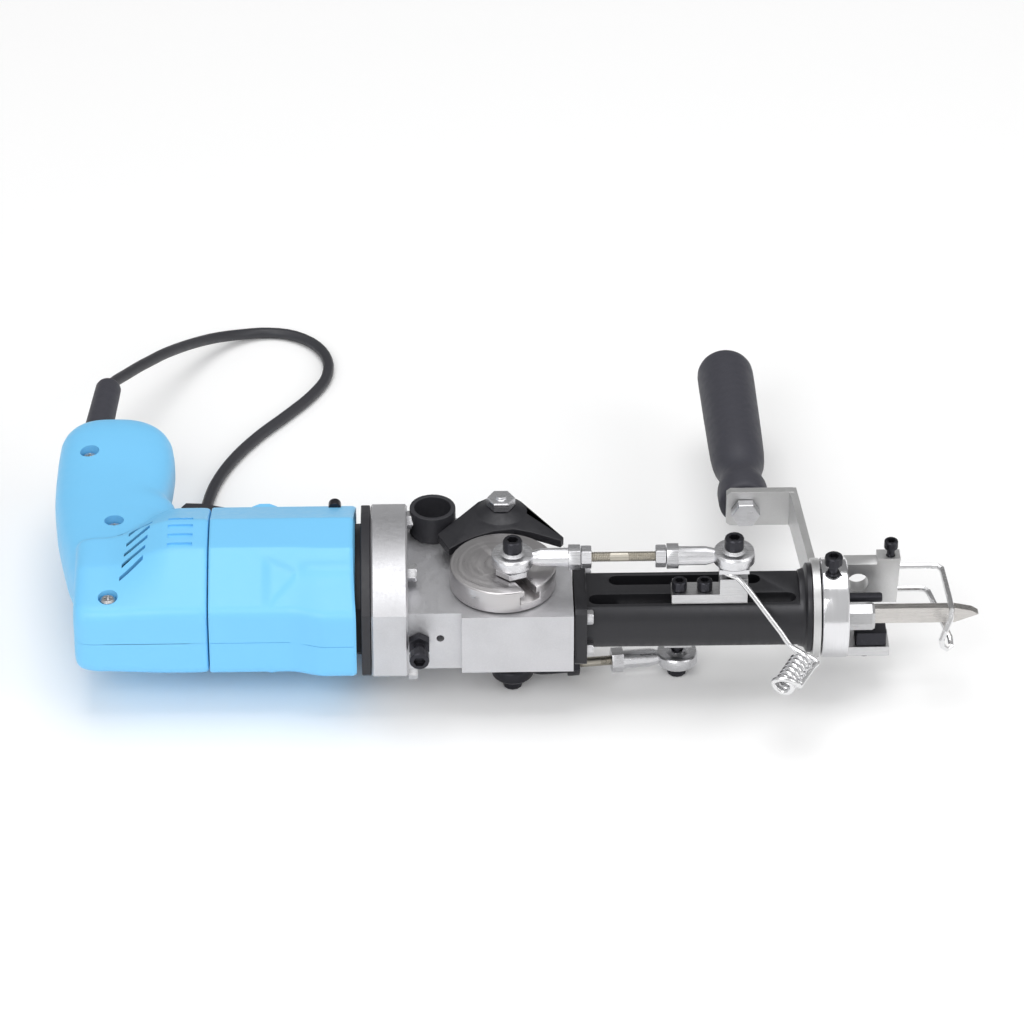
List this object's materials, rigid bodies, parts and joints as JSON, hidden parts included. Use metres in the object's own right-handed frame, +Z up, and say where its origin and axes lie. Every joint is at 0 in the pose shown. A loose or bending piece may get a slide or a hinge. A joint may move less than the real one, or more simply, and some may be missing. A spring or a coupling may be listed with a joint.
{
  "type": "electric carpet tufting gun",
  "caption": "Hand-held electric tufting gun: motor and pistol grip, worm gearbox with a crank disc, connecting rods, slotted barrel, needle, presser foot and front handle.",
  "frame": {"origin": "middle of the underside of the gun's bounding box, as it lies on its right-hand side, without its cord", "axes": "+X from the motor to the needle along the barrel, +Z up out of the floor, which is the gun's left-hand side, +Y towards the ends of the grip and the front handle"},
  "size_m": [0.4658, 0.3913, 0.094],
  "materials": {
    "blue_plastic": "satin",
    "black_plastic": "satin",
    "black_rubber": "matte",
    "black_barrel": "semi-gloss black oxide",
    "black_screw": "black oxide",
    "cast_aluminium": "bead blasted",
    "bright_steel": "machined",
    "zinc_steel": "zinc plated",
    "chrome_steel": "polished",
    "bronze": "machined",
    "winding": "enamelled copper",
    "lamination": "stacked sheet"
  },
  "bodies": {
    "frame": {"motor_housing": "blue_plastic", "handle_shell_left": "blue_plastic", "handle_shell_right": "blue_plastic", "shell_screw_end": "black_screw", "shell_screw_middle": "black_screw", "shell_screw_rear": "black_screw", "switch_module": "black_plastic", "strain_relief": "black_rubber", "cord_lead": "black_rubber", "cord_coil": "black_rubber", "mains_plug": "black_plastic", "motor_stator": "lamination", "rear_motor_bearing": "bright_steel", "front_motor_bearing": "bright_steel", "front_baffle": "black_plastic", "gearbox_housing": "cast_aluminium", "hanger_tube": "black_barrel", "disc_guard": "black_barrel", "guard_stud": "zinc_steel", "stop_screw": "black_screw", "barrel": "black_barrel", "clamp_collar": "chrome_steel", "collar_screw": "black_screw", "foot_bar": "bright_steel", "lower_bracket": "bright_steel"},
    "armature": {"armature_shaft": "bright_steel", "armature_core": "winding", "cooling_fan": "black_plastic"},
    "crank": {"crankshaft": "bright_steel", "worm_wheel": "bronze", "crank_disc_left": "bright_steel", "crank_disc_right": "bright_steel"},
    "needle_slide": {"needle_bar": "bright_steel", "needle_carriage": "bright_steel", "carriage_screw_1": "black_screw", "carriage_screw_2": "black_screw", "wrist_spacer": "zinc_steel", "needle_wrist_screw": "black_screw", "needle_holder": "bright_steel", "needle": "bright_steel", "yarn_guide": "chrome_steel"},
    "needle_rod": {"needle_rod_end_rear": "zinc_steel", "needle_rod_end_front": "zinc_steel", "needle_rod_stud": "zinc_steel", "needle_lock_nut_rear": "zinc_steel", "needle_lock_nut_front": "zinc_steel", "needle_crank_screw": "black_screw", "needle_crank_nut": "zinc_steel"},
    "looper_slide": {"looper_bar": "black_screw", "looper_carriage": "bright_steel", "looper_wrist_screw": "black_screw"},
    "looper_rod": {"looper_rod_end_rear": "zinc_steel", "looper_rod_end_front": "zinc_steel", "looper_rod_stud": "zinc_steel", "looper_crank_screw": "black_screw"},
    "trigger": {"trigger": "black_plastic"},
    "foot": {"presser_foot": "chrome_steel"},
    "handle": {"handle_bracket": "zinc_steel", "front_handle": "black_rubber", "handle_bolt": "zinc_steel"}
  },
  "joints": [
    {"name": "crank_spin", "type": "hinge", "parent": "frame", "child": "crank", "pos_m": [-0.00465, -0.07884, 0.045], "axis": [0, 0, 1], "continuous": true},
    {"name": "armature_spin", "type": "hinge", "parent": "frame", "child": "armature", "pos_m": [-0.00465, -0.05884, 0.045], "axis": [1, 0, 0], "continuous": true},
    {"name": "needle_stroke", "type": "slide", "parent": "frame", "child": "needle_slide", "axis": [1, 0, 0], "range_m": [-0.0143, 0.0043]},
    {"name": "needle_rod_swing", "type": "hinge", "parent": "needle_slide", "child": "needle_rod", "pos_m": [0.10975, -0.08684, 0.045], "axis": [0, 0, 1], "range_deg": [-9.1, 0.7]},
    {"name": "looper_stroke", "type": "slide", "parent": "frame", "child": "looper_slide", "axis": [1, 0, 0], "range_m": [-0.0098, 0.0002]},
    {"name": "looper_rod_swing", "type": "hinge", "parent": "looper_slide", "child": "looper_rod", "pos_m": [0.08335, -0.07084, 0.045], "axis": [0, 0, 1], "range_deg": [-4.1, 2.8]},
    {"name": "trigger_pull", "type": "hinge", "parent": "frame", "child": "trigger", "pos_m": [-0.12465, -0.00444, 0.045], "axis": [0, 0, 1], "range_deg": [0, 6], "stiffness_Nm_per_rad": 0.9, "springref_deg": -6.88},
    {"name": "foot_adjust", "type": "slide", "parent": "frame", "child": "foot", "axis": [1, 0, 0], "range_m": [-0.002, 0.012]},
    {"name": "handle_swivel", "type": "hinge", "parent": "frame", "child": "handle", "pos_m": [0.15135, -0.07884, 0.045], "axis": [1, 0, 0], "range_deg": [-8, 90]}
  ],
  "couplings": [
    {"joint": "armature_spin", "follows": "crank_spin", "ratio": 12}
  ]
}
